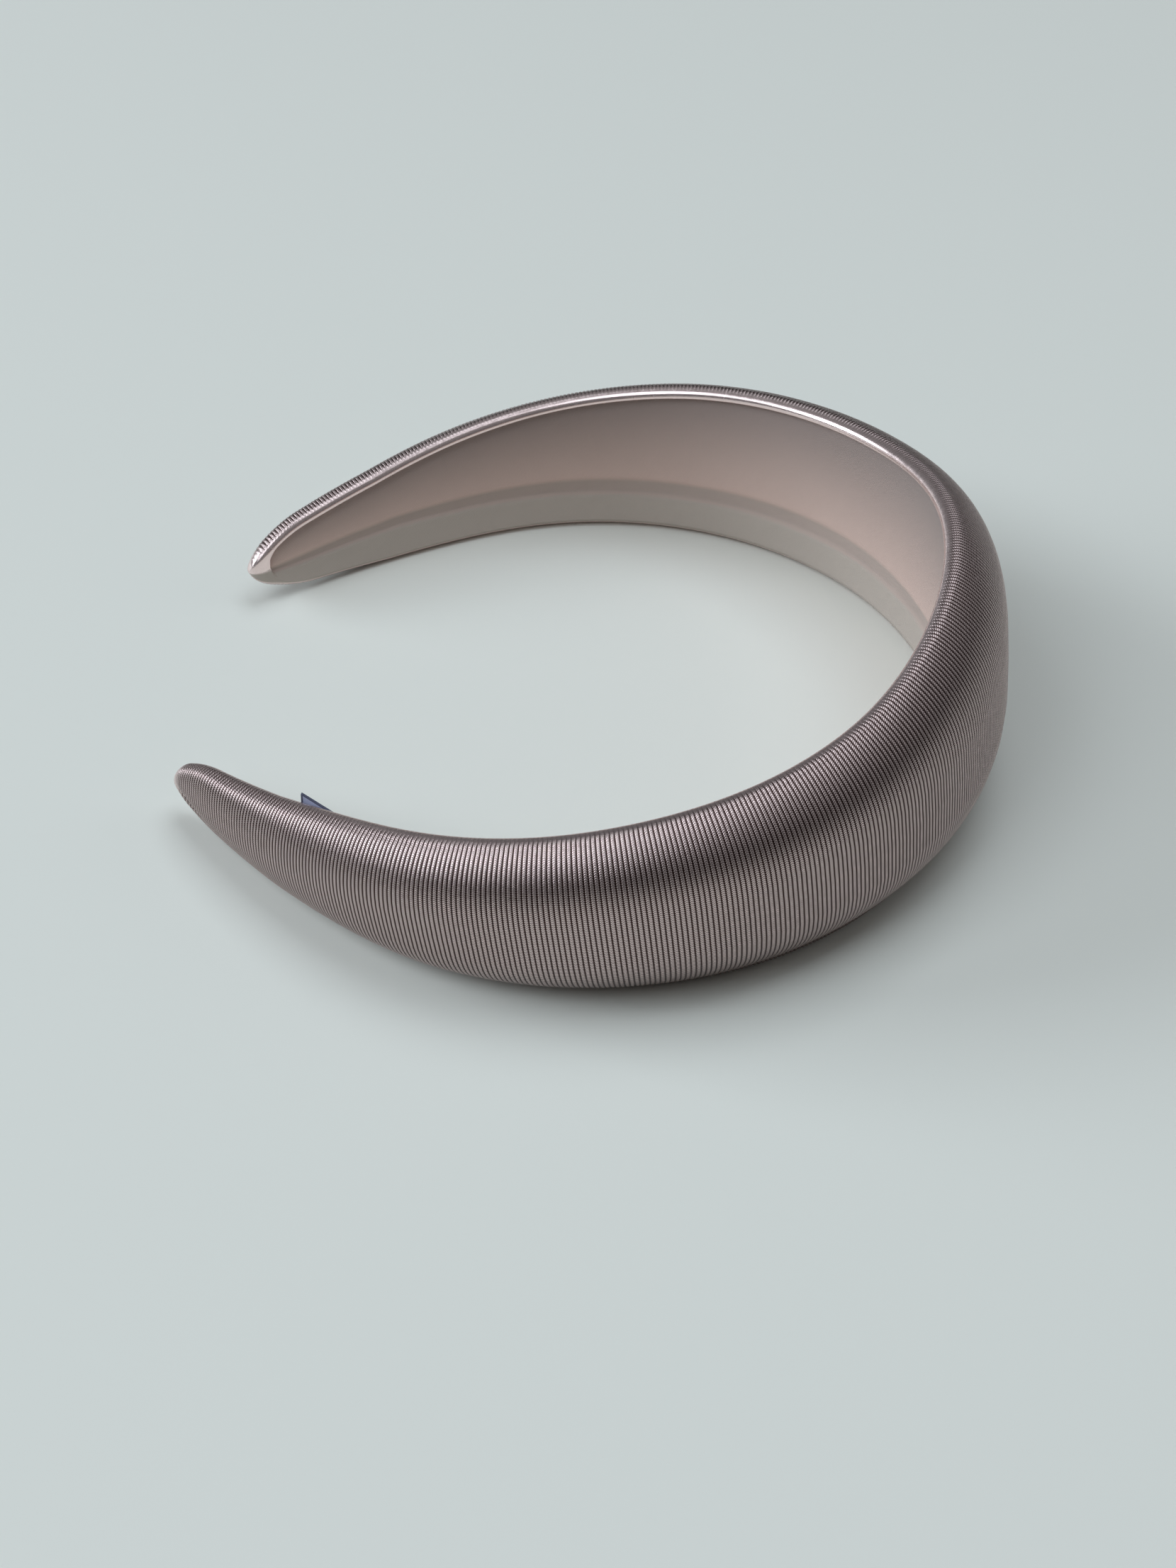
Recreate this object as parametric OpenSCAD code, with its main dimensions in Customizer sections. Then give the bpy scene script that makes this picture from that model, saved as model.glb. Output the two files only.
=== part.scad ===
// Padded headband, lying on its long edge, in millimetres.
// A foam-padded hoop in ribbed satin, with a smooth lining let into its inner side.
// X runs from the tips to the crown, Y across the head, Z up from the surface it lies on.

/* [Hoop] */
// Length along the inner side, from the middle of the crown to a tip
half_arc = 185; // [160:1:205]
// Radius of the inner side over the crown
crown_r = 65.6; // [58:0.1:76]
// Length of the round crown on each side, up to the middle of its change to the leg
crown_arc = 134; // [115:1:140]
// Radius of the inner side down the legs
leg_r = 180; // [120:5:300]
// Length over which the crown's radius changes to the leg's
ease_arc = 30; // [10:1:40]

/* [Padding] */
// Width of the band at the crown
crown_w = 48.3; // [40:0.1:54]
// Width of the band at the tips, before they round off
tip_w = 12.2; // [9:0.1:16]
// Height of the padding over the lining at the crown
crown_pad = 10.4; // [8:0.1:15]
// Height of the padding over the lining at the tips
tip_pad = 4; // [3.5:0.5:7]
// Radius of the rolled edges, up and down
roll_r = 1.5; // [1.2:0.1:1.8]
// Radius of the rolled edges, through the band
roll_in = 2; // [1.4:0.1:2.6]
// How far the rolled edges stand proud of the lining at the crown
roll_rise = 0.8; // [0.4:0.1:1.4]
// Length over which the padding rounds off at each tip
tip_round = 5; // [3:0.5:8]
// Length over which the width narrows to each tip's round end
tip_narrow = 13; // [8:1:24]
// Share of the gap under the resting edge, between crown and legs, that closes as the soft pad sags
settle_share = 0.7; // [0:0.05:0.9]
// How far the tips droop towards the surface
tip_droop = 0.6; // [0:0.1:1]

/* [Lining] */
// Distance from each edge of the band to the lining
lining_inset = 2.3; // [2.2:0.1:4]
// Thickness of the lining
lining_t = 1; // [0.8:0.1:1.6]
// Distance from the lining's end to the tip
lining_margin = 6; // [5:0.5:12]
// Length over which the lining's ends round off
lining_round = 4; // [2:0.5:8]
// Clearance between the lining and its recess
lining_gap = 0.15; // [0.1:0.05:0.3]

/* [Label] */
// Length of the label along the band
label_l = 11; // [6:0.5:14]
// Height of the label
label_h = 8; // [5:0.5:10]
// Thickness of the label
label_t = 0.5; // [0.4:0.1:1]
// Distance from the tip to the label's raised corner
label_from_tip = 34.5; // [28:0.5:60]
// How far the raised corner stands above the rolled edge's inner corner
label_proud = 2.3; // [0:0.1:3]
// Turn of the label from the line of the band, in degrees
label_turn = -12; // [-25:1:25]
// Clearance between the label and the rolled edge
label_gap = 0.2; // [0.1:0.05:0.4]

/* [Hidden] */

// How the width and the padding shrink from the crown's value (1) to the tip's (0), at even steps
STATION = 0; WIDTH = 1; PAD = 2;
taper = [
    // share of half_arc, width, padding
    [0.00, 1.00, 1.00],
    [0.25, 0.710, 1.08],
    [0.50, 0.585, 1.00],
    [0.75, 0.365, 0.75],
    [1.00, 0.00, 0.00],
];
// Powers of the padding's outline, between a broad flat back and round shoulders
pad_power = 1.75;
edge_power = 0.6;
// The same near the tips, where the outline is plainly round
tip_pad_power = 0.75;
tip_edge_power = 1.3;
// Angle round the rolled edge at which the padding's outline starts
edge_turn = 50;
// The lower half, which the band rests on, draws in by this much power, and more for each millimetre of sag
rest_power = 0.4;
sag_power = 0.3;
// Power of the rolled edge's swell beside the lining
swell_power = 0.6;
// A rolled edge takes up at most this share of the half width
roll_share = 0.3;

stations = 40;
dome_points = 12;
rim_points = 6;
swell_points = 4;
hair = 0.05;

// Value at share u of a column whose rows are evenly spaced, as a smooth curve through the rows
function row(col, i) = taper[min(max(i, 0), len(taper) - 1)][col];
function slope(col, i) = i <= 0 ? 0
    : i >= len(taper) - 1 ? row(col, i) - row(col, i - 1)
    : (row(col, i + 1) - row(col, i - 1)) / 2;
function along(col, u) =
    let (
        last = len(taper) - 1,
        i = min(floor(u * last), last - 1),
        f = u * last - i,
        a = row(col, i),
        b = row(col, i + 1)
    )
    a * (2 * pow(f, 3) - 3 * pow(f, 2) + 1) + slope(col, i) * (pow(f, 3) - 2 * pow(f, 2) + f)
    + b * (3 * pow(f, 2) - 2 * pow(f, 3)) + slope(col, i + 1) * (pow(f, 3) - pow(f, 2));

// Share of full size left where an end rounds off over the given length; a lower power is more pointed
function rounding(left, over, power = 2.5) =
    left >= over ? 1 : pow(1 - pow(1 - left / over, power), 1 / power);
narrow_power = 1.9;
end_share = 0.3;
function pad_share(s) = max(rounding(half_arc - s, tip_round), end_share);
function width_share(s) = max(rounding(half_arc - s, tip_narrow, narrow_power), end_share);

function width(s) = (tip_w + (crown_w - tip_w) * along(WIDTH, s / half_arc)) * width_share(s);
function pad(s) = (tip_pad + (crown_pad - tip_pad) * along(PAD, s / half_arc)) * pad_share(s);
function roll(s) = min(roll_r, roll_share * width(s) / 2);
function roll_deep(s) = roll_in * roll(s) / roll_r;
function rise(s) = roll_rise * pow(width(s) / crown_w, 0.5);
// Towards the tips the outline turns from broad (0) to plainly round (1)
function smooth(f) = let (g = min(max(f, 0), 1)) g * g * (3 - 2 * g);
function roundness(s) = smooth((s / half_arc - 0.64) / 0.31);

// The lining narrows with the band, and rounds off at its ends
lining_end = half_arc - lining_margin;
function lining_width(s) =
    max(width(s) - 2 * lining_inset, 1) * max(rounding(max(lining_end - s, 0), lining_round), 0.5);
// Half the width of the lining's recess, which always leaves room for the rolled edges
function crease(s) =
    let (inner = width(s) / 2 - roll(s))
    max(min(lining_width(s) / 2 + lining_gap, inner - 0.3), inner / 2);

// Curvature eases from the crown's to the leg's, and its sum turns the centre line
ease_from = crown_arc - ease_arc / 2;
function eased(s) = smooth((s - ease_from) / ease_arc);
function bend(s) = (1 - eased(s)) / crown_r + eased(s) / leg_r;
steps = 370;
step = half_arc / steps;
turns = [for (i = 0, t = 0; i <= steps; t = t + bend((i + 0.5) * step) * step * 180 / PI, i = i + 1) t];
xs = [for (i = 0, x = 0; i <= steps;
    x = x - step * sin((turns[i] + turns[min(i + 1, steps)]) / 2), i = i + 1) x];
ys = [for (i = 0, y = 0; i <= steps;
    y = y + step * cos((turns[i] + turns[min(i + 1, steps)]) / 2), i = i + 1) y];
function between(list, s) =
    let (k = min(s / step, steps), i = min(floor(k), steps - 1))
    list[i] + (list[i + 1] - list[i]) * (k - i);
function heading(s) = between(turns, s);

// Stations along one side, closer together where the tip and the lining's end round off
even_stations = [for (i = [0:stations]) (lining_end - lining_round) * i / stations];
lining_stations = [for (i = [1:5]) lining_end - lining_round * pow(1 - i / 5, 2)];
plain_from = lining_end + lining_gap;
round_from = max(half_arc - tip_round, plain_from + 4 * hair);
tip_stations = [for (i = [0:2]) plain_from + hair + (round_from - plain_from - hair) * i / 2];
round_stations = [for (i = [1:6]) half_arc - (half_arc - round_from) * pow(1 - i / 6, 2)];
side_stations = concat(even_stations, lining_stations, [plain_from], tip_stations, round_stations);
function both_sides(list) = concat([for (i = [len(list) - 1:-1:1]) -list[i]], list);

// Seen along the band's width: s along the inner side from the crown, n outwards
function plan(s, n) =
    let (a = abs(s), t = heading(a), side = s < 0 ? -1 : 1)
    [between(xs, a) + n * cos(t), side * (between(ys, a) + n * sin(t))];

// The hoop leans tips down until its crown and both legs touch the surface
function low_point(s) = [plan(s, roll_deep(s) - rise(s))[0], -width(s) / 2];
function above_crown(s) = low_point(s)[1] - low_point(0)[1];
function from_crown(s) = low_point(0)[0] - low_point(s)[0];
function slant(s) = atan(above_crown(s) / from_crown(s));
leg_stations = [for (s = side_stations) if (s > crown_arc / 4) s];
lean = min([for (s = leg_stations) slant(s)]);
touch = max([for (s = leg_stations) if (slant(s) <= lean) s]);

// The stiff edge would stand this far off the surface; the soft pad sags there and the tips droop
function lift(s) = above_crown(s) * cos(lean) - from_crown(s) * sin(lean);
function sag(s) = s < touch ? settle_share * lift(s) : 0;
function droop(s) = s > touch ? min(lift(s), tip_droop) : 0;
function settled(s, z) = (z < 0 ? z * (1 + 2 * sag(s) / width(s)) : z) - droop(s);

// A point of the upright hoop, z across the band from its middle
function upright(s, n, z) = let (p = plan(s, n)) [p[0], p[1], settled(abs(s), z)];

// Half of the section from the padding's apex over the rolled edge to the edge of the recess
function swell(q) = pow(sin(90 * q), swell_power);
function half_section(s, depth, drawn_in) =
    let (
        h = width(s) / 2,
        r = roll(s),
        lip = rise(s),
        deep = roll_deep(s),
        plain = roundness(s),
        turn = edge_turn * (1 - plain),
        power = pad_power + (tip_pad_power - pad_power) * plain + drawn_in,
        flank = edge_power + (tip_edge_power - edge_power) * plain,
        wide = deep - lip,
        brow = wide + deep * sin(turn),
        side = h - r + r * cos(turn),
        bed = crease(s)
    )
    concat(
        [for (i = [0:dome_points]) let (a = 90 * i / dome_points)
            [brow + (pad(s) - brow) * pow(cos(a), power), side * pow(sin(a), flank)]],
        [for (i = [1:rim_points]) let (a = turn - (90 + turn) * i / rim_points)
            [wide + deep * sin(a), h - r + r * cos(a)]],
        [for (i = [1:swell_points]) let (q = 1 - i / swell_points)
            [-lip * swell(q), bed + (h - r - bed) * q]],
        [[depth, bed]]
    );
function flip(p) = [p[0], -p[1]];
function section(s, depth) =
    let (
        high = half_section(s, depth, 0),
        low = half_section(s, depth, rest_power + sag_power * sag(s)),
        m = len(high)
    )
    concat(high, [for (i = [m - 1:-1:1]) flip(low[i])]);

function recess_depth(s) = abs(s) <= plain_from ? lining_t + lining_gap : hair;
band_stations = both_sides(side_stations);
band_rings = [for (s = band_stations)
    [for (p = section(abs(s), recess_depth(s))) upright(s, p[0], p[1])]];

// The lying band is centred and stands on the surface
function leaned(p) = [p[0] * cos(lean) - p[2] * sin(lean), p[1], p[0] * sin(lean) + p[2] * cos(lean)];
leaned_points = [for (ring = band_rings) for (p = ring) leaned(p)];
function column(c) = [for (p = leaned_points) p[c]];
middle_x = (min(column(0)) + max(column(0))) / 2;
floor_z = min(column(2));

module lying() {
    translate([-middle_x, 0, -floor_z]) rotate([0, -lean, 0]) children();
}

// A closed skin through rings of equally many points, with a flat fan over each end
module swept(rings) {
    m = len(rings[0]);
    last = len(rings) - 1;
    function middle(ring) = [for (c = [0:2]) (min([for (p = ring) p[c]]) + max([for (p = ring) p[c]])) / 2];
    points = concat([for (ring = rings) for (p = ring) p], [middle(rings[0]), middle(rings[last])]);
    sides = [for (j = [0:last - 1]) for (i = [0:m - 1])
        let (a = j * m + i, b = j * m + (i + 1) % m)
        each [[a, b, b + m], [a, b + m, a + m]]];
    first_cap = [for (i = [0:m - 1]) [(last + 1) * m, (i + 1) % m, i]];
    last_cap = [for (i = [0:m - 1]) [(last + 1) * m + 1, last * m + i, last * m + (i + 1) % m]];
    polyhedron(points, concat(sides, first_cap, last_cap));
}

module padded_band() {
    color([0.60, 0.52, 0.52]) lying() swept(band_rings);
}

// The lining's face lies level with the foot of the rolled edges
lining_side = concat(even_stations, lining_stations);
module inner_lining() {
    rings = [for (s = both_sides(lining_side))
        let (h = lining_width(abs(s)) / 2)
        [for (p = [[0, h], [0, -h], [lining_t, -h], [lining_t, h]]) upright(s, p[0], p[1])]];
    color([0.56, 0.48, 0.45]) lying() swept(rings);
}

// The label lies on the inner side of the near leg, its corner above the rolled edge
module inner_label() {
    s = half_arc - label_from_tip;
    inward = -rise(s - label_l) - label_gap;
    corner = upright(-s, inward, width(s) / 2 - roll(s) + label_proud);
    color([0.42, 0.46, 0.62]) lying() translate(corner) rotate([0, 0, -heading(s - label_l / 2)])
        rotate([label_turn, 0, 0]) translate([-label_t, 0, -label_h]) cube([label_t, label_l, label_h]);
}

padded_band();
inner_lining();
inner_label();
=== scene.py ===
# %% [markdown]
# A padded headband lies on its long edge on a pale surface. Under a cover of ribbed satin is a
# foam pad, and under that a springy hoop. This notebook dresses the measured frame: first the
# hoop's own curve, then the padded cover with its ribs, the lining and the label, each with its
# finish, and last the floor, the light and the camera.

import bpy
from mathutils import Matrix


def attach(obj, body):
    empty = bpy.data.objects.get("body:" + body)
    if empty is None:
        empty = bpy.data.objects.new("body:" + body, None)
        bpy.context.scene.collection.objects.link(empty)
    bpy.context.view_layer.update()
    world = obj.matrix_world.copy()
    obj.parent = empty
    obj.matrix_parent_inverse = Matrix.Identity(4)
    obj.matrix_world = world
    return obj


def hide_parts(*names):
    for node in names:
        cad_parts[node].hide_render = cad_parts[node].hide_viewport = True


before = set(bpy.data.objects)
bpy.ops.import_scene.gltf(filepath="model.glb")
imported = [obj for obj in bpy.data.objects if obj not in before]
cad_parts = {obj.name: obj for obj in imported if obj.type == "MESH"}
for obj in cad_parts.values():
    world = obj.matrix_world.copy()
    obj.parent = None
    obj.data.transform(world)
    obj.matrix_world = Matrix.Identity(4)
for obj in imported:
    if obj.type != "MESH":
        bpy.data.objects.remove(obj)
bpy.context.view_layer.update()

# %% [markdown]
# A headband is cut and padded to a handful of sizes. They could be measured on the plain solids,
# but the soft cover needs the rules behind them, so the named sizes are written here in
# millimetres, as a maker would, and turned to metres where a mesh is made. Only the soft pad
# settles deeper here, and the lining runs nearer to the tips, than in the plain solids.

# %% Sizes of the hoop and its padding
import math
import bmesh
import bpy
import numpy as np
from mathutils import Matrix, Vector

MM = 0.001
half_arc = 185.0
crown_r, leg_r = 65.6, 180.0
crown_arc, ease_arc = 134.0, 30.0
crown_w, tip_w = 48.3, 12.2
crown_pad, tip_pad = 10.4, 4.0
roll_r, roll_in, roll_rise = 1.5, 2.0, 0.8
tip_round, tip_narrow = 5.0, 13.0
settle_share, tip_droop = 0.95, 0.6
edge_turn = math.radians(50)
# powers of the padding's outline: over the band, near the tips, and what the resting half adds
pad_power, edge_power = 1.75, 0.6
tip_pad_power, tip_edge_power = 0.75, 1.3
rest_power, sag_power = 0.4, 0.3
narrow_power, swell_power = 1.9, 0.6
# share of half the width that a rolled edge may take
roll_share = 0.3
# shares between the tip's value (0) and the crown's (1), at even steps from crown to tip
width_shares = [1.0, 0.710, 0.585, 0.365, 0.0]
pad_shares = [1.0, 1.08, 1.00, 0.75, 0.0]
print("inner length from tip to tip:", 2 * half_arc, "mm")

# %% [markdown]
# The real hoop is a springy strip, bent round at the crown and nearly straight at the legs. A
# spline through clicked points would wobble, so the curve is worked out from its bending: it
# starts with the crown's radius and eases to the leg's. Summing the bending in small steps gives
# the heading, and summing the heading gives the place.

# %% The hoop's curve
fine_s = np.linspace(0, half_arc, 3701)
ease = np.clip((fine_s - (crown_arc - ease_arc / 2)) / ease_arc, 0, 1)
ease = ease * ease * (3 - 2 * ease)
curvature = (1 - ease) / crown_r + ease / leg_r
fine_turn = np.concatenate([[0], np.cumsum((curvature[1:] + curvature[:-1]) / 2 * fine_s[1])])
middle_turn = (fine_turn[1:] + fine_turn[:-1]) / 2
fine_x = np.concatenate([[0], np.cumsum(-np.sin(middle_turn) * fine_s[1])])
fine_y = np.concatenate([[0], np.cumsum(np.cos(middle_turn) * fine_s[1])])


def plan(s, n):
    """The hoop seen along its width: s along the inner side, n outwards."""
    a = np.abs(s)
    side = np.where(s < 0, -1.0, 1.0)
    turn = np.interp(a, fine_s, fine_turn)
    x = np.interp(a, fine_s, fine_x) + n * np.cos(turn)
    return x, side * (np.interp(a, fine_s, fine_y) + n * np.sin(turn))


print("the tips head", round(math.degrees(fine_turn[-1]), 1), "degrees round from the crown")

# %% [markdown]
# The band is broad and thick over the head and slim at the ears, with rounded ends. Each of
# these falls off along the hoop by its own smooth curve through a few shares, because a single
# straight taper would look stiff.

# %% Width and padding along the band
def smooth_through(shares, s):
    """A smooth curve through evenly spaced shares, flat at the crown."""
    values = np.array(shares)
    slopes = np.gradient(values)
    slopes[0] = 0
    place = np.clip(np.abs(s) / half_arc, 0, 1) * (len(shares) - 1)
    i = np.minimum(place.astype(int), len(shares) - 2)
    f = place - i
    return (values[i] * (2 * f**3 - 3 * f**2 + 1) + slopes[i] * (f**3 - 2 * f**2 + f)
            + values[i + 1] * (3 * f**2 - 2 * f**3) + slopes[i + 1] * (f**3 - f**2))


def rounding(left, over, power=2.5):
    """Share of full size left where an end rounds off; a lower power is more pointed."""
    u = np.clip(1 - np.maximum(left, 0) / over, 0, 1)
    return (1 - u**power) ** (1 / power)


def pad_share(s):
    return rounding(half_arc - np.abs(s), tip_round)


def width_share(s):
    return rounding(half_arc - np.abs(s), tip_narrow, narrow_power)


def width(s):
    return (tip_w + (crown_w - tip_w) * smooth_through(width_shares, s)) * width_share(s)


def pad(s):
    return (tip_pad + (crown_pad - tip_pad) * smooth_through(pad_shares, s)) * pad_share(s)


def roll(s):
    """Radius of the rolled edge, less where the band gets narrow."""
    return np.minimum(roll_r, roll_share * width(s) / 2)


def roll_deep(s):
    return roll_in * roll(s) / roll_r


def rise(s):
    """How far the rolled edge stands proud of the inner side."""
    return roll_rise * (width(s) / crown_w) ** 0.5


widths_now = [round(float(width(np.array(s))), 1) for s in (0, 110, 175)]
print("width at crown, middle of the leg and tip, mm:", widths_now)

# %% [markdown]
# Lying down, the hoop leans a little, tips down, until the crown and both legs touch. Between
# them the soft pad sags towards the surface, and the tips droop. A simulation could find this
# rest, but the hoop is stiff, so a ruler laid under the lower edge finds the same lean at once.

# %% Laying it on the surface
edge_s = np.linspace(0, half_arc, 1501)
edge_x = plan(edge_s, roll_deep(edge_s) - rise(edge_s))[0]
above_crown = (width(0 * edge_s) - width(edge_s)) / 2
from_crown = edge_x[0] - edge_x
beyond = (edge_s > crown_arc / 4) & (edge_s < half_arc - 1)
slant = np.arctan(above_crown[beyond] / from_crown[beyond])
lean = float(slant.min())
touch = float(edge_s[beyond][slant.argmin()])
stiff_lift = above_crown * math.cos(lean) - from_crown * math.sin(lean)


def lift(s):
    """How far a stiff edge would stand off the surface."""
    return np.interp(np.abs(s), edge_s, stiff_lift)


def sag(s):
    return np.where(np.abs(s) < touch, settle_share * lift(s), 0)


def droop(s):
    return np.where(np.abs(s) > touch, np.minimum(lift(s), tip_droop), 0)


def on_hoop(s, n, z):
    """Points of the upright hoop, z across the band from its middle."""
    low = z * (1 + 2 * sag(s) / np.maximum(width(s), 1))
    return np.stack(np.broadcast_arrays(*plan(s, n), np.where(z < 0, low, z) - droop(s)), -1)


def leaned(p):
    c, s = math.cos(lean), math.sin(lean)
    return np.stack([p[..., 0] * c - p[..., 2] * s, p[..., 1],
                     p[..., 0] * s + p[..., 2] * c], -1)


print("lean:", round(math.degrees(lean), 2), "degrees")
print("the legs touch", round(touch), "mm from the crown")

# %% [markdown]
# Cut across, the band is a low cushion with two rolled edges and a shallow bed between them, in
# which the lining lies. A plain ellipse would lose the rolls, so half of the section is built in
# three parts: down the crowned back, round the rolled edge, and over a soft swell to the bed.
# Near the tip the roll closes round the lining's end like a U.

# %% The section
DOME, RIM, SWELL = 12, 9, 4
HALF = DOME + RIM + SWELL + 2
lining_inset = 2.3
lining_margin = 4.0
lining_round = 3.0
lining_stop = half_arc - lining_margin
recess = 1.5
recess_share = 0.4
tip_middle = 2.0
bed_play = 0.15
closing_arc = 1.5
# where along the half arc the outline starts to turn round, and over which share
round_from, round_over = 0.64, 0.31


def half_bed(s):
    """Half the width of the lining's bed, which rounds off before the tip."""
    left = lining_stop - np.abs(s)
    room = np.maximum(width(s) / 2 - lining_inset + bed_play, 0)
    return room * np.where(left > 0, rounding(left, lining_round), 0)


def roundness(s):
    """Towards the tips the outline turns from broad (0) to plainly round (1)."""
    f = np.clip((np.abs(s) / half_arc - round_from) / round_over, 0, 1)
    return f * f * (3 - 2 * f)


def half_section(s, drawn_in):
    """(n, z) of half the section; s has one row a ring and one column a point."""
    h, r, deep, lip, top = width(s) / 2, roll(s), roll_deep(s), rise(s), pad(s)
    plain = roundness(s)
    turn = edge_turn * (1 - plain)
    wide = deep - lip
    brow, side = wide + deep * np.sin(turn), h - r + r * np.cos(turn)
    d = slice(0, DOME + 1)
    e = slice(DOME + 1, DOME + RIM + 1)
    f = slice(DOME + RIM + 1, HALF - 1)
    a = np.linspace(0, math.pi / 2, DOME + 1)
    b = turn[:, e] - (math.pi / 2 + turn[:, e]) * np.arange(1, RIM + 1) / RIM
    q = 1 - np.arange(1, SWELL + 1) / SWELL
    power = (pad_power + (tip_pad_power - pad_power) * plain + drawn_in)[:, d]
    flank = (edge_power + (tip_edge_power - edge_power) * plain)[:, d]
    n, z = np.empty_like(s), np.empty_like(s)
    n[:, d] = brow[:, d] + (top - brow)[:, d] * np.maximum(np.cos(a), 0) ** power
    z[:, d] = side[:, d] * np.sin(a) ** flank
    n[:, e] = wide[:, e] + deep[:, e] * np.sin(b)
    z[:, e] = (h - r)[:, e] + r[:, e] * np.cos(b)
    bed = half_bed(s)
    closed = np.clip((np.abs(s) - lining_stop) / closing_arc, 0, 1)[:, f]
    n[:, f] = -lip[:, f] * (closed + (1 - closed) * np.sin(math.pi / 2 * q) ** swell_power)
    z[:, f] = bed[:, f] + (h - r - bed)[:, f] * q
    n[:, -1] = np.where(bed[:, -1] > 0, np.minimum(recess, recess_share * top[:, -1]), n[:, -2])
    z[:, -1] = bed[:, -1]
    return n + tip_middle * (1 - pad_share(s)), z


print("points in half a section:", HALF)

# %% [markdown]
# The cover is a knit whose ribs run across the band. A mesh with even squares would cut through
# them at random, so each ring of the mesh follows a rib, four rings to a rib, and a later step
# can raise the ribs cleanly. A few closer rings round off each tip.

# %% Stations along the band
rib_pitch = 0.755
rings_a_rib, end_rings = 4, 8
ribs_stop = 1.2
last_rib = int((half_arc - ribs_stop) / rib_pitch * rings_a_rib)
body_s = np.arange(-last_rib, last_rib + 1) * rib_pitch / rings_a_rib
end_s = half_arc - (half_arc - body_s[-1]) * (1 - np.arange(1, end_rings + 1) / end_rings) ** 2
stations = np.concatenate([-end_s[::-1], body_s, end_s])
half_s = np.repeat(stations[:, None], HALF, 1)
n_high, z_high = half_section(half_s, 0 * half_s)
n_low, z_low = half_section(half_s, rest_power + sag_power * sag(half_s))
n_all = np.concatenate([n_low[:, ::-1], n_high[:, 1:]], 1)
z_all = np.concatenate([-z_low[:, ::-1], z_high[:, 1:]], 1)
s_all = np.concatenate([half_s[:, ::-1], half_s[:, 1:]], 1)
lying = leaned(on_hoop(s_all, n_all, z_all)).reshape(-1, 3)
shift = np.array([-(lying[:, 0].min() + lying[:, 0].max()) / 2, 0, -lying[:, 2].min()])
print("rings:", len(stations), "points a ring:", n_all.shape[1], "shift, mm:", np.round(shift, 2))


def placed(s, n, z):
    """Points of the lying band, in metres."""
    return (leaned(on_hoop(s, n, z)) + shift) * MM


# %% [markdown]
# Every cloth here starts as a grid of points. Modifiers could wrap and weld such grids, but with
# the faces made directly, each point can carry its own map place and numbers, such as how ribbed
# the cover is there, and the finishes read these later.

# %% Mesh helpers
def grid_faces(rows, columns, closed):
    """Quads between neighbouring rings of points."""
    j = np.arange(rows - 1)[:, None]
    i = np.arange(columns if closed else columns - 1)[None]
    a, b = j * columns + i, j * columns + (i + 1) % columns
    return np.stack([a, b, b + columns, a + columns], -1).reshape(-1, 4)


def new_mesh(name, points, faces, uv, floats=None):
    """A mesh object from points and faces, with a UV and named numbers for each point."""
    mesh = bpy.data.meshes.new(name)
    mesh.from_pydata(points.reshape(-1, 3).tolist(), [], [tuple(f) for f in faces])
    layer = mesh.uv_layers.new(name="UVMap")
    corner = np.empty(len(mesh.loops), int)
    mesh.loops.foreach_get("vertex_index", corner)
    layer.data.foreach_set("uv", uv.reshape(-1, 2)[corner].astype(np.float32).ravel())
    for label, values in (floats or {}).items():
        attribute = mesh.attributes.new(label, "FLOAT", "POINT")
        attribute.data.foreach_set("value", values.astype(np.float32).ravel())
    thing = bpy.data.objects.new(name, mesh)
    bpy.context.scene.collection.objects.link(thing)
    return thing


def clean(thing, distance=1e-6):
    """Merges doubled points, turns faces outwards and shades smooth."""
    work = bmesh.new()
    work.from_mesh(thing.data)
    bmesh.ops.remove_doubles(work, verts=work.verts, dist=distance)
    bmesh.ops.dissolve_degenerate(work, edges=work.edges, dist=1e-8)
    bmesh.ops.recalc_face_normals(work, faces=work.faces)
    if work.calc_volume(signed=True) < 0:
        bmesh.ops.reverse_faces(work, faces=work.faces)
    work.to_mesh(thing.data)
    work.free()
    thing.data.shade_smooth()


# %% [markdown]
# At each tip the cover is gathered round the end, which leaves one short crease on the outer
# face. Sculpting it by hand couldn't be repeated, so it is a narrow dent along a line, deepest
# in its middle.

# %% Creases at the tips
crease_deep, crease_wide = 0.9, 0.9
crease_start = np.array([half_arc - 2.5, 0.3])
crease_end = np.array([half_arc - 11.0, -2.6])


def tip_crease(s, z):
    """How far the outer face is drawn in beside the crease, in mm."""
    line = crease_end - crease_start
    from_start = np.stack([np.abs(s) - crease_start[0], z - crease_start[1]], -1)
    share = np.clip(from_start @ line / (line @ line), 0, 1)
    away = np.linalg.norm(from_start - share[..., None] * line, axis=-1)
    deepest_in_middle = np.sin(math.pi * np.clip(share * 0.85 + 0.1, 0, 1))
    return crease_deep * np.exp(-(away / crease_wide) ** 2) * deepest_in_middle


rows, columns = n_all.shape
apex = columns // 2
from_apex = np.abs(np.arange(columns) - apex)
face_part = np.clip((DOME - from_apex) / 4, 0, 1)
n_all = n_all - tip_crease(s_all, z_all) * face_part
print("crease depth:", round(float(tip_crease(s_all, z_all).max()), 2), "mm")
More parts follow.
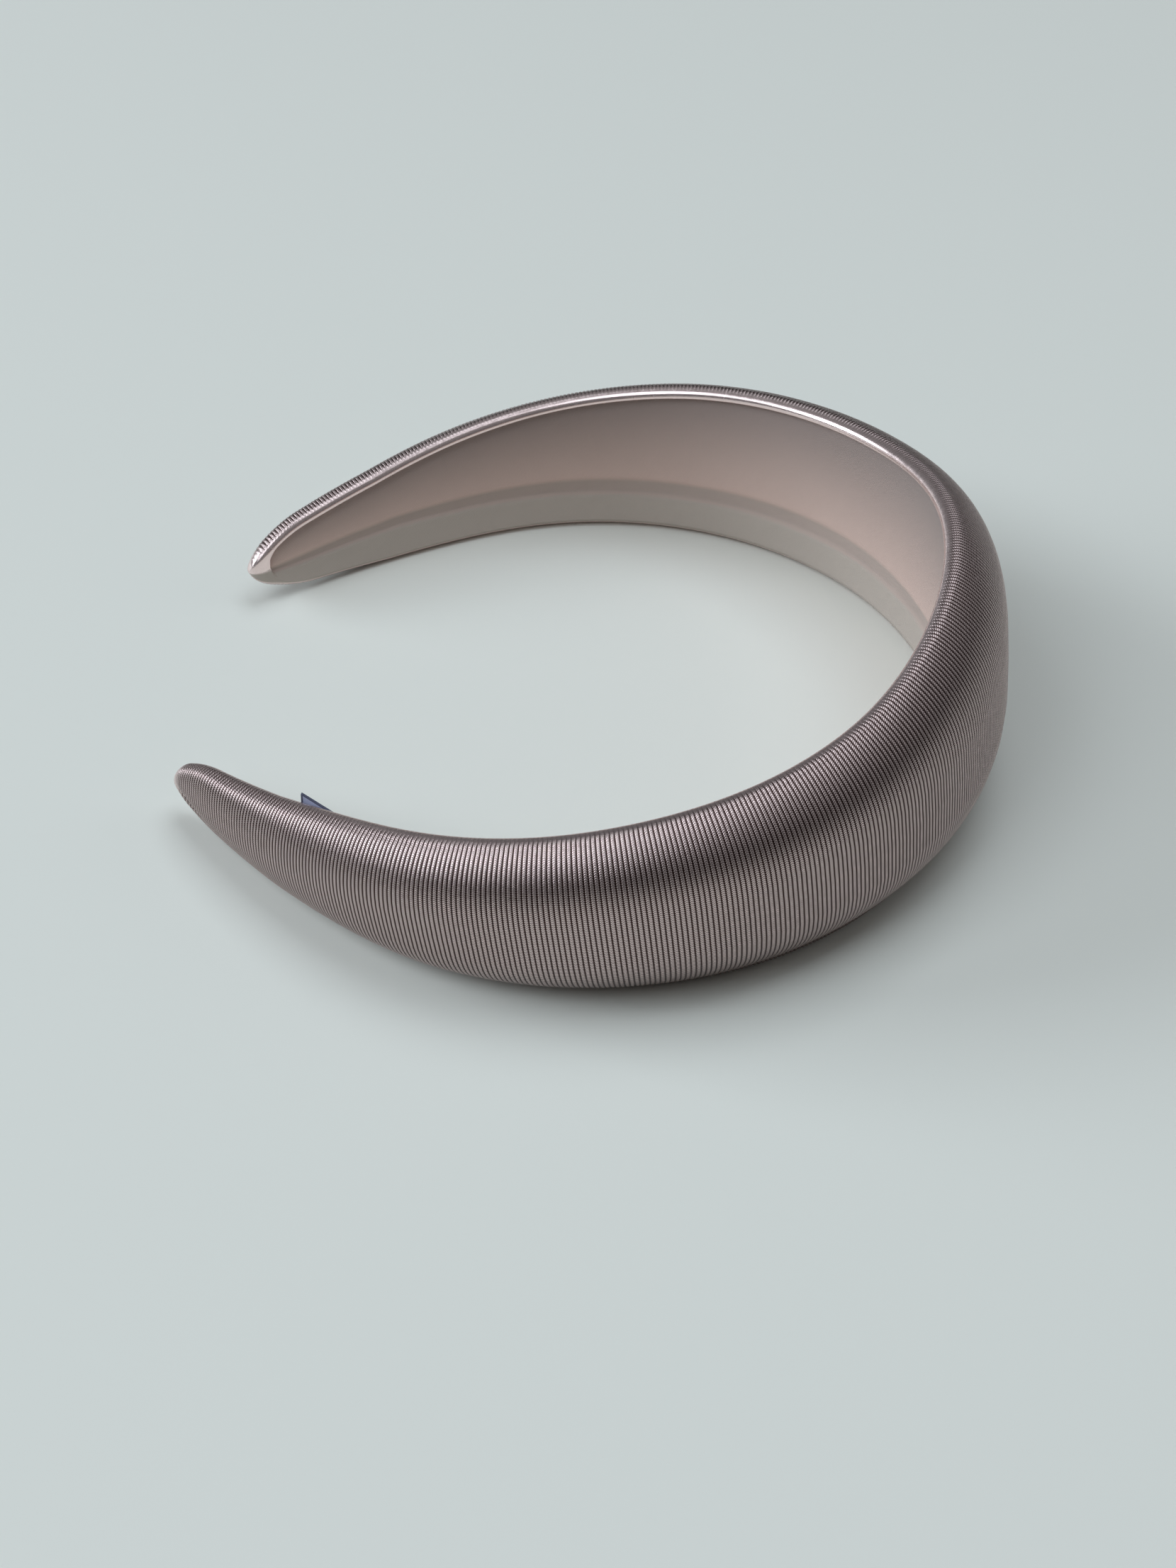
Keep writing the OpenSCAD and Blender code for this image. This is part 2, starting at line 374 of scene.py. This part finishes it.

# %% [markdown]
# The padded body is one closed skin over foam. Its map counts ribs one way and rows of stitches
# the other, so the knit stays in step with the raised ribs. Its named numbers say where the ribs
# stop at the rolled edge, where painted shade lies along the edge's turn, and where the cover is
# turned in and looks like plain cloth. No cloth simulation is used: the skin is stretched tight
# over a stiff hoop and has no free folds.

# %% The padded body
course_pitch = 0.38
rib_fade, crown_extra = 1.8, 1.5
gap = np.sqrt(np.diff(n_all, axis=1) ** 2 + np.diff(z_all, axis=1) ** 2)
across = np.concatenate([np.zeros((len(stations), 1)), np.cumsum(gap, 1)], 1)
across = across - across[:, apex:apex + 1]
knit_uv = np.stack([s_all / rib_pitch, across / course_pitch], -1)
rib_end = DOME + 4.2 + crown_extra * np.exp(-(s_all / 70) ** 2)
outside = np.clip((rib_end - from_apex) / rib_fade, 0, 1)
rib_share = np.clip((half_arc - np.abs(s_all) - 1.0) / 3.0, 0, 1) * outside
# A band of painted shade where the rolled edge turns over, just past the end of the ribs.
rim_turn = np.broadcast_to(np.exp(-((from_apex - DOME - 4.5) / 1.6) ** 2), s_all.shape)
turned_in = np.broadcast_to(np.clip((from_apex - DOME - RIM + 3) / 3, 0, 1), s_all.shape)
turned_in = turned_in * (z_all < 0)
band = new_mesh("padded_cover", placed(s_all, n_all, z_all), grid_faces(rows, columns, True),
                knit_uv, {"along_mm": s_all, "rib_share": rib_share, "turned_in": turned_in,
                          "rim_turn": rim_turn})
clean(band)
print("band:", len(band.data.vertices), "points,", len(band.data.polygons), "faces")

# %% [markdown]
# The ribs repeat almost five hundred times. An array of rib objects would not follow the pad, so
# Geometry Nodes raise them instead: each point moves along its normal by a rounded wave of its
# distance along the band. The nodes are set up by two small helpers.

# %% Node helpers
def new_input(tree, name, kind, default=None):
    socket = tree.interface.new_socket(name, in_out="INPUT", socket_type=kind)
    if default is not None:
        socket.default_value = default


def new_output(tree, name, kind):
    tree.interface.new_socket(name, in_out="OUTPUT", socket_type=kind)


def calc(tree, operation, *inputs):
    """A Math node; each input is a number or another node's output."""
    node = tree.nodes.new("ShaderNodeMath")
    node.operation = operation
    for socket, given in zip(node.inputs, inputs):
        if isinstance(given, (int, float)):
            socket.default_value = given
        else:
            tree.links.new(given, socket)
    return node.outputs[0]


def named_number(tree, name):
    """A number that the mesh carries, for Geometry Nodes."""
    node = tree.nodes.new("GeometryNodeInputNamedAttribute")
    node.data_type = "FLOAT"
    node.inputs["Name"].default_value = name
    return node.outputs["Attribute"]


# %% [markdown]
# The tree reads how far along the band each point lies, turns that into a row of rounded backs
# and moves the points out by it. Its pitch, height and finish are inputs, so that another pitch
# needs no new tree.

# %% The rib tree
def rib_tree():
    tree = bpy.data.node_groups.new("Raised ribs", "GeometryNodeTree")
    new_input(tree, "Geometry", "NodeSocketGeometry")
    new_input(tree, "Rib pitch", "NodeSocketFloat", 1.0)
    new_input(tree, "Rib height", "NodeSocketFloat", 0.0002)
    new_input(tree, "Finish", "NodeSocketMaterial")
    new_output(tree, "Geometry", "NodeSocketGeometry")
    given = tree.nodes.new("NodeGroupInput")
    result = tree.nodes.new("NodeGroupOutput")
    turns = calc(tree, "DIVIDE", named_number(tree, "along_mm"), given.outputs["Rib pitch"])
    wave = calc(tree, "ABSOLUTE", calc(tree, "SINE", calc(tree, "MULTIPLY", turns, math.pi)))
    round_back = calc(tree, "SUBTRACT", calc(tree, "POWER", wave, 0.7), 0.7)
    height = calc(tree, "MULTIPLY", round_back, given.outputs["Rib height"])
    height = calc(tree, "MULTIPLY", height, named_number(tree, "rib_share"))
    outward = tree.nodes.new("ShaderNodeVectorMath")
    outward.operation = "SCALE"
    tree.links.new(tree.nodes.new("GeometryNodeInputNormal").outputs[0], outward.inputs[0])
    tree.links.new(height, outward.inputs["Scale"])
    move = tree.nodes.new("GeometryNodeSetPosition")
    real = tree.nodes.new("GeometryNodeRealizeInstances")
    finish = tree.nodes.new("GeometryNodeSetMaterial")
    tree.links.new(given.outputs["Geometry"], move.inputs["Geometry"])
    tree.links.new(outward.outputs[0], move.inputs["Offset"])
    tree.links.new(move.outputs[0], real.inputs[0])
    tree.links.new(real.outputs[0], finish.inputs["Geometry"])
    tree.links.new(given.outputs["Finish"], finish.inputs["Material"])
    tree.links.new(finish.outputs[0], result.inputs[0])
    return tree


def with_nodes(thing, tree, **values):
    """Runs a Geometry Nodes tree on a piece and keeps the plain mesh."""
    modifier = thing.modifiers.new("nodes", "NODES")
    modifier.node_group = tree
    for item in tree.interface.items_tree:
        key = item.name.replace(" ", "_").lower()
        if item.in_out == "INPUT" and key in values:
            modifier[item.identifier] = values[key]
    bpy.context.view_layer.update()
    seen = thing.evaluated_get(bpy.context.evaluated_depsgraph_get())
    mesh = bpy.data.meshes.new_from_object(seen)
    thing.modifiers.remove(modifier)
    thing.data = mesh
    mesh.name = thing.name
    return thing


# %% [markdown]
# Each finish is built from nodes. A few helpers keep that short: one starts a material, one
# places a node, one blends two colours, and one reads a number that the mesh carries.

# %% Material helpers
def new_material(name):
    material = bpy.data.materials.new(name)
    material.use_nodes = True
    tree = material.node_tree
    return material, tree, tree.nodes["Principled BSDF"]


def put(tree, kind, **settings):
    node = tree.nodes.new(kind)
    for name, value in settings.items():
        setattr(node, name, value)
    return node


def blend_colour(tree, factor, first, second):
    """A colour Mix node; each colour is a tuple or another node's output."""
    node = put(tree, "ShaderNodeMix", data_type="RGBA")
    for socket, given in zip((node.inputs[0], node.inputs[6], node.inputs[7]),
                             (factor, first, second)):
        if isinstance(given, tuple):
            socket.default_value = (*given, 1.0)
        else:
            tree.links.new(given, socket)
    return node.outputs[2]


def mesh_number(tree, name):
    return put(tree, "ShaderNodeAttribute", attribute_name=name).outputs["Fac"]


# %% [markdown]
# Real cloth is never one even colour, and a close look shows its weave. More than one finish
# needs both, so each is a shader group that is built once and placed with its own values: soft
# blotches from noise, and the height of a plain weave from two crossed waves.

# %% Groups that the finishes share
def blotch_group():
    """Soft irregular blotches between 0 and 1."""
    tree = bpy.data.node_groups.new("Soft blotches", "ShaderNodeTree")
    new_input(tree, "Place", "NodeSocketVector")
    new_input(tree, "Scale", "NodeSocketFloat", 30.0)
    new_input(tree, "Detail", "NodeSocketFloat", 3.0)
    new_output(tree, "Mask", "NodeSocketFloat")
    given = put(tree, "NodeGroupInput")
    result = put(tree, "NodeGroupOutput")
    noise = put(tree, "ShaderNodeTexNoise")
    tree.links.new(given.outputs["Place"], noise.inputs["Vector"])
    tree.links.new(given.outputs["Scale"], noise.inputs["Scale"])
    tree.links.new(given.outputs["Detail"], noise.inputs["Detail"])
    tree.links.new(noise.outputs[0], result.inputs["Mask"])
    return tree


def weave_group():
    """Height of a plain weave on a map in millimetres."""
    tree = bpy.data.node_groups.new("Plain weave", "ShaderNodeTree")
    new_input(tree, "Place", "NodeSocketVector")
    new_input(tree, "Pitch", "NodeSocketFloat", 0.3)
    new_output(tree, "Height", "NodeSocketFloat")
    given = put(tree, "NodeGroupInput")
    result = put(tree, "NodeGroupOutput")
    split = put(tree, "ShaderNodeSeparateXYZ")
    tree.links.new(given.outputs["Place"], split.inputs[0])
    waves = []
    for side in split.outputs[:2]:
        turns = calc(tree, "DIVIDE", side, given.outputs["Pitch"])
        waves.append(calc(tree, "SINE", calc(tree, "MULTIPLY", turns, 2 * math.pi)))
    tree.links.new(calc(tree, "MULTIPLY", *waves), result.inputs["Height"])
    return tree


blotches, weave = blotch_group(), weave_group()


def clouds(tree, scale, detail=3.0):
    """Places the blotches on Object coordinates."""
    node = put(tree, "ShaderNodeGroup", node_tree=blotches)
    tree.links.new(put(tree, "ShaderNodeTexCoord").outputs["Object"], node.inputs["Place"])
    node.inputs["Scale"].default_value = scale
    node.inputs["Detail"].default_value = detail
    return node.outputs["Mask"]


def weave_bump(tree, place, pitch, depth):
    """Places the weave, as the height of a Bump node in the material."""
    node = put(tree, "ShaderNodeGroup", node_tree=weave)
    tree.links.new(place, node.inputs["Place"])
    node.inputs["Pitch"].default_value = pitch
    bump = put(tree, "ShaderNodeBump")
    bump.inputs["Strength"].default_value = 0.5
    bump.inputs["Distance"].default_value = depth
    tree.links.new(node.outputs["Height"], bump.inputs["Height"])
    return bump.outputs[0]


# %% [markdown]
# Close up, each rib is a column of slanted stitches that meet in its middle like the letter V
# turned over. Modelling half a million of them would be far too heavy, so their height, and the
# painted shade in the grooves and between them, come from waves of the map: one wave a rib, one
# wave a row, slanted outwards from the rib's middle.

# %% The knit as a shader group
def knit_group():
    """Stitch height and a mask of painted shade in grooves and gaps, from ribs (x) and rows (y)."""
    tree = bpy.data.node_groups.new("Ribbed knit", "ShaderNodeTree")
    new_input(tree, "Stitches", "NodeSocketVector")
    new_output(tree, "Height", "NodeSocketFloat")
    new_output(tree, "Gap", "NodeSocketFloat")
    given = put(tree, "NodeGroupInput")
    result = put(tree, "NodeGroupOutput")
    split = put(tree, "ShaderNodeSeparateXYZ")
    tree.links.new(given.outputs[0], split.inputs[0])
    rib, course = split.outputs[0], split.outputs[1]
    place = calc(tree, "FRACT", rib)
    off_middle = calc(tree, "ABSOLUTE", calc(tree, "SUBTRACT", place, 0.5))
    edge = calc(tree, "MULTIPLY", off_middle, 2.0)
    ridge = calc(tree, "SINE", calc(tree, "MULTIPLY", place, math.pi))
    strand = calc(tree, "ABSOLUTE", calc(tree, "SINE", calc(tree, "MULTIPLY", place, 2 * math.pi)))
    slanted = calc(tree, "ADD", course, edge)
    drop = calc(tree, "COSINE", calc(tree, "MULTIPLY", slanted, 2 * math.pi))
    drop = calc(tree, "MULTIPLY_ADD", drop, 0.5, 0.5)
    stitch = calc(tree, "MULTIPLY", calc(tree, "POWER", strand, 0.7),
                  calc(tree, "MULTIPLY_ADD", drop, 0.8, 0.2))
    tree.links.new(calc(tree, "MULTIPLY_ADD", ridge, 0.4, stitch), result.inputs["Height"])
    # Painted shade: dark near each rib's edges in the groove between ribs, and between the stitches.
    groove_shade = calc(tree, "MAXIMUM", calc(tree, "MULTIPLY_ADD", edge, 2.6, -1.35), 0.0)
    between_shade = calc(tree, "MULTIPLY", calc(tree, "SUBTRACT", 1.0, drop), 0.9)
    painted_gap_shade = calc(tree, "MINIMUM", calc(tree, "ADD", groove_shade, between_shade), 1.0)
    tree.links.new(painted_gap_shade, result.inputs["Gap"])
    return tree


# %% [markdown]
# Satin shines along a line, not in a spot: its fine threads lie side by side, so the shine
# spreads across them. A round gloss would look like plastic. The finish is a soft anisotropic
# gloss, turned by the mesh's own map, with painted shade in the grooves and between the
# stitches, a band of painted shade along the turn of the rolled edge, and plain cloth where the
# cover is turned in.

# %% The satin cover's finish
def satin_material():
    material, tree, surface = new_material("ribbed_mauve_satin")
    knit = put(tree, "ShaderNodeGroup", node_tree=knit_group())
    tree.links.new(put(tree, "ShaderNodeUVMap", uv_map="UVMap").outputs[0], knit.inputs[0])
    ribbed, inner = mesh_number(tree, "rib_share"), mesh_number(tree, "turned_in")
    # Painted shade of the knit, only where the cover is ribbed; it darkens the colour in grooves and
    # between stitches.
    gap = calc(tree, "MULTIPLY", knit.outputs["Gap"], ribbed)
    body = blend_colour(tree, clouds(tree, 45.0), (0.90, 0.72, 0.69), (1.0, 0.82, 0.79))
    colour = blend_colour(tree, gap, body, (0.045, 0.02, 0.017))
    # Painted shade in a band along the turn of the rolled edge.
    shade = calc(tree, "MULTIPLY", mesh_number(tree, "rim_turn"), 0.3)
    colour = blend_colour(tree, shade, colour, (0.14, 0.10, 0.095))
    colour = blend_colour(tree, inner, colour, (0.51, 0.445, 0.39))
    tree.links.new(colour, surface.inputs["Base Color"])
    bump = put(tree, "ShaderNodeBump")
    bump.inputs["Strength"].default_value = 1.0
    bump.inputs["Distance"].default_value = 0.000035
    height = calc(tree, "MULTIPLY", knit.outputs["Height"], ribbed)
    tree.links.new(height, bump.inputs["Height"])
    tree.links.new(bump.outputs[0], surface.inputs["Normal"])
    metallic = calc(tree, "MULTIPLY_ADD", inner, -0.78, 0.80)
    tree.links.new(metallic, surface.inputs["Metallic"])
    rough = calc(tree, "MULTIPLY_ADD", clouds(tree, 900.0, 2.0), 0.20, 0.14)
    rough = calc(tree, "ADD", rough, calc(tree, "MULTIPLY", gap, 0.15))
    rough = calc(tree, "MULTIPLY_ADD", inner, 0.3, rough)
    tree.links.new(rough, surface.inputs["Roughness"])
    surface.inputs["Anisotropic"].default_value = 0.8
    tangent = put(tree, "ShaderNodeTangent", direction_type="UV_MAP", uv_map="UVMap")
    tree.links.new(tangent.outputs[0], surface.inputs["Tangent"])
    return material


# %% [markdown]
# The real ribs stand up by about a fifth of a millimetre. Bump alone would leave the outline
# smooth, so they are raised in the mesh itself, and only the stitches are bump.

# %% Raising the ribs
rib_height = 0.2
with_nodes(band, rib_tree(), rib_pitch=rib_pitch, rib_height=rib_height * MM,
           finish=satin_material())
band.data.shade_smooth()
print("ribbed cover:", len(band.data.polygons), "faces, ribs", rib_height, "mm high")

# %% [markdown]
# Thin cloth has two sides and an edge. A single sheet of faces would vanish from behind, so it
# is made as a closed shell: the same grid of points twice, half the thickness to each side, with
# a rim round its border.

# %% A shell for thin cloth
def shell(name, grid, thickness, uv, floats=None):
    """A closed thin cloth round a grid of points in metres."""
    normal = np.cross(np.gradient(grid, axis=0), np.gradient(grid, axis=1))
    length = np.linalg.norm(normal, axis=-1, keepdims=True)
    normal = normal / np.maximum(length, 1e-12)
    r, c = grid.shape[:2]
    front, back = grid + normal * thickness / 2, grid - normal * thickness / 2
    faces = grid_faces(r, c, False)
    under = faces[:, ::-1] + r * c
    border = ([(0, i) for i in range(c)] + [(j, c - 1) for j in range(1, r)]
              + [(r - 1, i) for i in range(c - 2, -1, -1)] + [(j, 0) for j in range(r - 2, 0, -1)])
    ids = [j * c + i for j, i in border]
    rim = [(a, b, b + r * c, a + r * c) for a, b in zip(ids, ids[1:] + ids[:1])]
    points = np.concatenate([front.reshape(-1, 3), back.reshape(-1, 3)])
    both = np.concatenate([uv.reshape(-1, 2), uv.reshape(-1, 2)])
    doubled = {label: np.concatenate([v.ravel(), v.ravel()]) for label, v in (floats or {}).items()}
    thing = new_mesh(name, points, [*map(tuple, faces), *map(tuple, under), *rim], both, doubled)
    clean(thing)
    return thing


# %% [markdown]
# The lining is a strip of finer cloth let in between the rolled edges. Along the lower edge its
# hem is sewn down: a shallow valley some three millimetres wide, with a flat band below it that
# runs on to the rolled edge. A strip cut flat and draped would need its seams pinned, so it is a
# grid laid along the hoop instead, with that profile across it.

# %% Where the lining runs
hem_high, hem_wide, hem_deep, lining_thick = 7.4, 3.2, 0.4, 0.3
lining_end = lining_stop - 0.02 - lining_round * (1 - np.arange(0, 9) / 8) ** 2
lining_run = lining_stop - lining_round - 1
lining_s = np.concatenate([-lining_end[::-1], np.linspace(-lining_run, lining_run, 360), lining_end])
across_share = np.linspace(-1, 1, 61)
s_grid = np.repeat(lining_s[:, None], len(across_share), 1)
w_grid, bed = width(s_grid), half_bed(s_grid)
swell_reach = (w_grid / 2 - 0.9 * roll(s_grid)) / np.maximum(w_grid / 2 - lining_inset + bed_play, 0.1)
over_swell = np.clip(swell_reach, 1, 1.5)
z_grid = np.where(across_share < 0, bed * over_swell, bed - 0.12) * across_share
above_edge = z_grid + w_grid / 2
print("lining: runs", round(2 * float(lining_end[-1])), "mm,", s_grid.shape, "points")

# %% [markdown]
# Across the strip, the profile dips at the hem and turns out again at both rolled edges. A
# curve drawn for one place would be wrong elsewhere, because the strip gets narrower, so the
# steps follow the height above the lower edge at each point.

# %% The lining's profile
def soft_step(x, low, high):
    f = np.clip((x - low) / (high - low), 0, 1)
    return f * f * (3 - 2 * f)


hem_at = np.minimum(hem_high, 0.34 * w_grid)
hem_top = hem_at + hem_wide * np.minimum(1, w_grid / 30)
# The hem's valley: sunk in the mesh, and given painted shade in the finish.
valley = soft_step(above_edge, hem_at - 0.5, hem_at + 0.4)
valley = valley * (1 - soft_step(above_edge, hem_top - 0.6, hem_top + 0.8))
below_hem = 1 - soft_step(above_edge, hem_at - 0.3, hem_at + 0.3)
# Share from the hem up to the upper edge, where the finish paints shade that deepens upwards.
high = np.clip((above_edge - hem_top) / np.maximum(w_grid - hem_top, 1), 0, 1)
tuck = np.clip(1 - (bed - z_grid) / 2.5, 0, 1)
near_roll = np.clip((hem_at - above_edge) / np.maximum(hem_at - roll(s_grid), 0.5), 0, 1)
n_grid = 0.3 + 0.45 * tuck**2 + hem_deep * valley - 0.2 * below_hem
n_grid = n_grid - (rise(s_grid) + 0.3) * near_roll**1.6
n_grid = n_grid + 0.2 * np.clip((np.abs(s_grid) - 120) / 60, 0, 1)
lining = shell("inner_lining_cloth", placed(s_grid, n_grid, z_grid), lining_thick * MM,
               np.stack([s_grid, z_grid], -1), {"hem": valley, "below_hem": below_hem, "high": high})
print("lining:", len(lining.data.polygons), "faces, hem valley", hem_wide, "mm wide")

# %% [markdown]
# A fine weave hardly shines. The lining is warm in its middle, with painted shade in the hem's
# valley and painted shade that deepens towards the upper edge, and greyer on the band below the
# hem. Painting that by hand would need an image, so the mesh's own named numbers steer the colour.

# %% The lining's finish
def lining_material():
    material, tree, surface = new_material("smooth_lining")
    uv = put(tree, "ShaderNodeUVMap", uv_map="UVMap").outputs[0]
    cloth = blend_colour(tree, clouds(tree, 30.0), (0.66, 0.49, 0.43), (0.73, 0.54, 0.47))
    # Painted shade that deepens towards the upper edge.
    cloth = blend_colour(tree, mesh_number(tree, "high"), cloth, (0.27, 0.22, 0.205))
    cloth = blend_colour(tree, mesh_number(tree, "below_hem"), cloth, (0.52, 0.455, 0.40))
    # Painted shade in the hem's valley.
    cloth = blend_colour(tree, mesh_number(tree, "hem"), cloth, (0.49, 0.395, 0.35))
    tree.links.new(cloth, surface.inputs["Base Color"])
    tree.links.new(weave_bump(tree, uv, 0.35, 0.00003), surface.inputs["Normal"])
    surface.inputs["Roughness"].default_value = 0.7
    surface.inputs["Specular IOR Level"].default_value = 0.3
    surface.inputs["Sheen Weight"].default_value = 0.15
    return material


lining.data.materials.append(lining_material())

# %% [markdown]
# The label is a scrap of woven ribbon, folded over and caught under the lining's edge, so that
# its folded edge stands a little proud of the band. It is a grid too, bent once round a small
# radius at the fold, then turned and set on the hoop at its place near the tip.

# %% The label's place
label_l, label_h, label_fold_r, label_thick = 11.0, 8.0, 0.15, 0.2
label_from_tip, label_proud, label_turn, label_gap = 34.5, 2.3, math.radians(-12), 0.2
label_s = half_arc - label_from_tip
label_in = -float(rise(np.array(label_s - label_l))) - label_gap
label_z = float(width(np.array(label_s)) / 2 - roll(np.array(label_s))) + label_proud
corner = on_hoop(np.array(-label_s), label_in, label_z)
heading = -float(np.interp(label_s - label_l / 2, fine_s, fine_turn))


def label_points(t, y, z):
    """Points of the label: t through it, y along the band, z down from its top edge."""
    c, s = math.cos(label_turn), math.sin(label_turn)
    y, z = y * c + z * s, y * s - z * c
    c, s = math.cos(heading), math.sin(heading)
    x, y = -t * c - y * s, -t * s + y * c
    return (leaned(corner + np.stack(np.broadcast_arrays(x, y, z), -1)) + shift) * MM


print("label:", label_s, "mm from the crown, standing", label_proud, "mm proud")

# %% [markdown]
# The ribbon's two halves lie close together and open slightly at the fold. One sheet that runs
# down, round the fold and up again has the right two layers and needs no joining.

# %% The label's shape
run = np.linspace(-label_h, label_h, 45)
fold_reach = label_fold_r * 1.6
t_mid = np.where(np.abs(run) < fold_reach, label_fold_r * np.sin(run / fold_reach * math.pi / 2),
                 np.sign(run) * label_fold_r)
z_mid = np.maximum(np.abs(run) - 0.1, 0)
y_grid, run_grid = np.meshgrid(np.linspace(0, label_l, 34), run, indexing="ij")
t_grid = np.broadcast_to(0.25 + t_mid, y_grid.shape)
z_down = np.broadcast_to(z_mid, y_grid.shape)
label = shell("inner_label_cloth", label_points(t_grid, y_grid, z_down), label_thick * MM,
              np.stack([y_grid, run_grid], -1))
print("label:", len(label.data.polygons), "faces")

# %% [markdown]
# The ribbon is lilac with a darker border woven round it, and its face is bare. The border
# follows the map, which runs in millimetres from end to end and from the fold to the edge.

# %% The label's finish
border_wide = 0.45


def label_material():
    material, tree, surface = new_material("lilac_label_cloth")
    uv = put(tree, "ShaderNodeUVMap", uv_map="UVMap").outputs[0]
    split = put(tree, "ShaderNodeSeparateXYZ")
    tree.links.new(uv, split.inputs[0])
    far_end = calc(tree, "SUBTRACT", label_l, split.outputs[0])
    from_ends = calc(tree, "MINIMUM", split.outputs[0], far_end)
    from_fold = calc(tree, "ABSOLUTE", split.outputs[1])
    border = calc(tree, "LESS_THAN", calc(tree, "MINIMUM", from_ends, from_fold), border_wide)
    face = blend_colour(tree, clouds(tree, 400.0), (0.34, 0.38, 0.53), (0.40, 0.44, 0.60))
    colour = blend_colour(tree, border, face, (0.05, 0.055, 0.10))
    tree.links.new(colour, surface.inputs["Base Color"])
    tree.links.new(weave_bump(tree, uv, 0.22, 0.00003), surface.inputs["Normal"])
    surface.inputs["Roughness"].default_value = 0.55
    return material


label.data.materials.append(label_material())

# %% [markdown]
# The pieces now stand in for the plain solids and ride on the one body. The cover is padded,
# and the lining and the label are cloth. The lining's width is worked out along its length, and
# it is widest at the crown.

# %% Putting the pieces in place of the solids
for piece, node, slot in ((band, "padded_band", "ribbed_satin"),
                          (lining, "inner_lining", "smooth_lining"),
                          (label, "inner_label", "label_cloth")):
    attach(piece, "root")
    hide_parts(node)
widths = 2 * half_bed(lining_s)

# %% [markdown]
# The floor is a plain pale surface, slightly green as painted wood in daylight. It is wide
# enough that no edge of it shows from above.

# %% The surface it lies on
floor_reach = 2.0
floor_mesh = bpy.data.meshes.new("floor")
floor_corners = [(-1, -1), (1, -1), (1, 1), (-1, 1)]
floor_mesh.from_pydata([(x * floor_reach, y * floor_reach, 0) for x, y in floor_corners], [],
                       [(0, 1, 2, 3)])
floor = bpy.data.objects.new("floor", floor_mesh)
bpy.context.scene.collection.objects.link(floor)
floor_paint, floor_tree, floor_surface = new_material("pale_surface")
floor_surface.inputs["Base Color"].default_value = (0.865, 0.875, 0.81, 1)
floor_surface.inputs["Roughness"].default_value = 0.6
floor_surface.inputs["Specular IOR Level"].default_value = 0.3
floor_mesh.materials.append(floor_paint)
print("floor:", 2 * floor_reach, "metres square")

# %% [markdown]
# A room is brightest overhead and dark near the horizon. An even sky would wash out the satin,
# so its strength grows with the square of the height. The camera itself sees a plain pale
# background instead of that sky.

# %% The sky
world = bpy.data.worlds.new("soft_room")
bpy.context.scene.world = world
world.use_nodes = True
sky = world.node_tree
background = sky.nodes["Background"]
background.inputs["Color"].default_value = (1.0, 1.0, 1.0, 1)
split = put(sky, "ShaderNodeSeparateXYZ")
sky.links.new(put(sky, "ShaderNodeTexCoord").outputs["Generated"], split.inputs[0])
upwards = calc(sky, "POWER", calc(sky, "MAXIMUM", split.outputs[2], 0.0), 2.0)
sky.links.new(calc(sky, "MULTIPLY_ADD", upwards, 0.15, 0.03), background.inputs["Strength"])
backdrop = put(sky, "ShaderNodeBackground")
backdrop.inputs["Color"].default_value = (0.42, 0.46, 0.44, 1)
either = put(sky, "ShaderNodeMixShader")
sky.links.new(put(sky, "ShaderNodeLightPath").outputs["Is Camera Ray"], either.inputs[0])
sky.links.new(background.outputs[0], either.inputs[1])
sky.links.new(backdrop.outputs[0], either.inputs[2])
sky.links.new(either.outputs[0], sky.nodes["World Output"].inputs["Surface"])
bpy.context.scene.view_settings.view_transform = "Standard"

# %% [markdown]
# Four soft lamps model the form: a window to the left, a softbox on its near side, a broad one
# overhead that draws the shine along the top of the band, and a weak one to the right that opens
# the shadow. All are large and some metres away, so no shadow has a hard edge.

# %% The lamps
aim = Vector((0, 0, 0.02))


def area_light(name, place, size, power, colour):
    light = bpy.data.lights.new(name, "AREA")
    light.shape = "RECTANGLE"
    light.size, light.size_y = size
    light.energy = power
    light.color = colour
    thing = bpy.data.objects.new(name, light)
    thing.location = place
    thing.rotation_euler = (aim - Vector(place)).to_track_quat("-Z", "Y").to_euler()
    bpy.context.scene.collection.objects.link(thing)


daylight = (0.87, 0.96, 1.05)
area_light("softbox", (-1.1, -1.0, 1.95), (1.4, 1.4), 15.5, daylight)
area_light("ceiling", (0.4, 0.35, 2.0), (1.5, 1.1), 12.5, daylight)
area_light("right_wall", (1.6, 0.3, 1.1), (1.0, 1.0), 1.9, (0.90, 0.96, 1.02))
area_light("window", (-2.5, 0.1, 1.1), (1.6, 1.2), 36.0, daylight)

# %% [markdown]
# The camera looks down on the band from in front, a little from the right, as one does at a
# thing on a shelf. Its place and its turn are set directly, since a camera that tracks a target
# would change its view whenever the target moved.

# %% The camera
lens = bpy.data.cameras.new("camera")
lens.lens = 54.06
lens.sensor_width = 36.0
camera = bpy.data.objects.new("camera", lens)
bpy.context.scene.collection.objects.link(camera)
yaw, down = math.radians(-5.783), math.radians(41.952)
right = Vector((math.cos(yaw), -math.sin(yaw), 0))
forward = Vector((math.sin(yaw) * math.cos(down), math.cos(yaw) * math.cos(down), -math.sin(down)))
up = right.cross(forward)
turned = Matrix((right, up, -forward)).transposed()
camera.matrix_world = Matrix.Translation((0.031766, -0.339411, 0.291480)) @ turned.to_4x4()
bpy.context.scene.camera = camera
print("camera looks", [round(v, 4) for v in forward])
